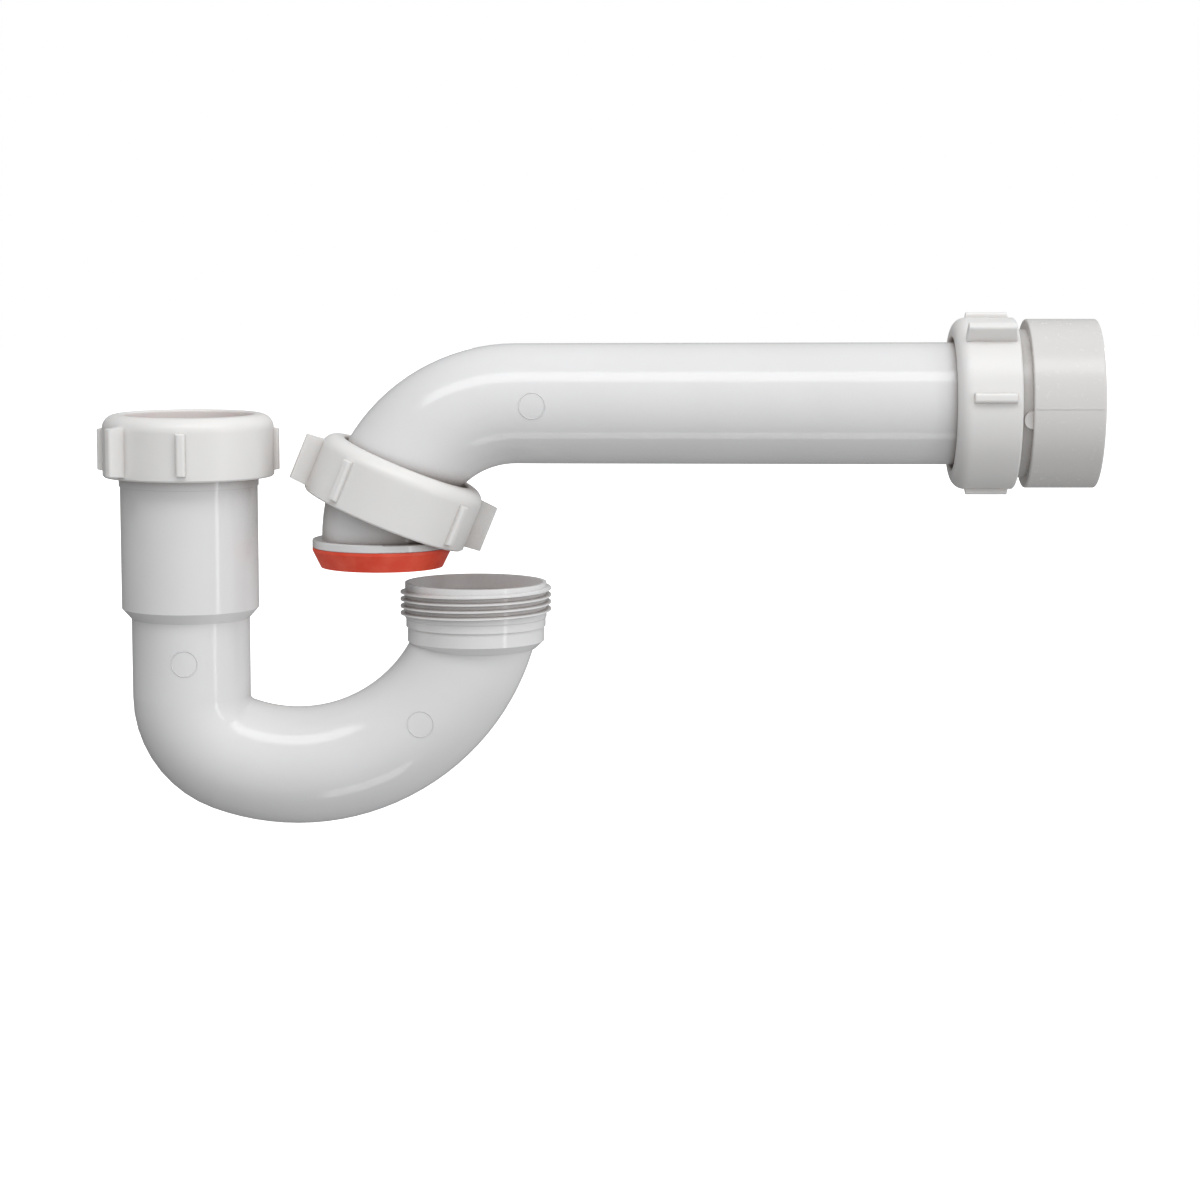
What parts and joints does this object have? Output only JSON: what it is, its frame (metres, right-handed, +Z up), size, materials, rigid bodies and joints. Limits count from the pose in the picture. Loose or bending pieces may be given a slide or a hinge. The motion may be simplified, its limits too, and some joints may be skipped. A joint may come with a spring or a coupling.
{
  "type": "p trap",
  "caption": "Tubular P trap taken apart at its union: J-bend with slip-joint inlet, waste arm with loose union nut and cone seal, and wall adapter.",
  "frame": {"origin": "centre of the wall adapter's socket mouth", "axes": "+X into the wall pipe, +Z up along the inlet, the trap in the XZ plane"},
  "size_m": [0.3108, 0.0568, 0.1607],
  "materials": {
    "tube_white": "moulded gloss",
    "nut_white": "satin moulded",
    "adapter_white": "moulded semi-gloss",
    "seal_red": "moulded rubber",
    "slip_ring_clear": "natural polyethylene"
  },
  "bodies": {
    "wall_adapter": {"wall_adapter": "adapter_white"},
    "wall_slip_ring": {"wall_slip_ring": "slip_ring_clear"},
    "wall_nut": {"wall_nut": "nut_white"},
    "wall_seal": {"wall_seal": "seal_red"},
    "outlet_arm": {"outlet_arm": "tube_white"},
    "union_slip_ring": {"union_slip_ring": "slip_ring_clear"},
    "union_nut": {"union_nut": "nut_white"},
    "union_seal": {"union_seal": "seal_red"},
    "inlet_gland": {"inlet_slip_ring": "slip_ring_clear", "inlet_seal": "seal_red"},
    "inlet_nut": {"inlet_nut": "nut_white"},
    "trap_bend": {"trap_bend": "tube_white"}
  },
  "joints": [
    {"name": "wall_nut_advance", "type": "slide", "parent": "wall_adapter", "child": "wall_slip_ring", "axis": [1, 0, 0], "range_m": [-0.00663, 0]},
    {"name": "wall_nut_turn", "type": "hinge", "parent": "wall_slip_ring", "child": "wall_nut", "pos_m": [-0.035, 0, 0], "axis": [1, 0, 0], "range_deg": [-1081, 1]},
    {"name": "arm_swivel", "type": "hinge", "parent": "wall_adapter", "child": "wall_seal", "pos_m": [-0.035, 0, 0], "axis": [1, 0, 0], "continuous": true},
    {"name": "arm_telescope", "type": "slide", "parent": "wall_seal", "child": "outlet_arm", "axis": [1, 0, 0], "range_m": [-0.01, 0.015]},
    {"name": "union_nut_travel", "type": "hinge", "parent": "outlet_arm", "child": "union_slip_ring", "pos_m": [-0.17283, 0, -0.04718], "axis": [0, -1, 0], "range_deg": [0, 22.4]},
    {"name": "union_nut_turn", "type": "hinge", "parent": "union_slip_ring", "child": "union_nut", "pos_m": [-0.21806, 0, -0.0271], "axis": [-0.3811, 0, -0.9245], "range_deg": [0, 810]},
    {"name": "union_swivel", "type": "hinge", "parent": "outlet_arm", "child": "union_seal", "pos_m": [-0.2223, 0, -0.04475], "axis": [0, 0, -1], "range_deg": [0, 90]},
    {"name": "trap_offer", "type": "slide", "parent": "union_seal", "child": "inlet_gland", "axis": [-0.9885, 0, 0.151], "range_m": [0, 0.02969]},
    {"name": "inlet_nut_turn", "type": "hinge", "parent": "inlet_gland", "child": "inlet_nut", "pos_m": [-0.28245, 0, -0.01285], "axis": [0, 0, -1], "range_deg": [-1, 721]},
    {"name": "trap_close", "type": "slide", "parent": "inlet_gland", "child": "trap_bend", "axis": [0, 0, 1], "range_m": [0, 0.00442]}
  ],
  "couplings": [
    {"joint": "wall_nut_turn", "follows": "wall_nut_advance", "rad_per_m": 2844.7},
    {"joint": "inlet_nut_turn", "follows": "trap_close", "rad_per_m": 2844.7}
  ]
}
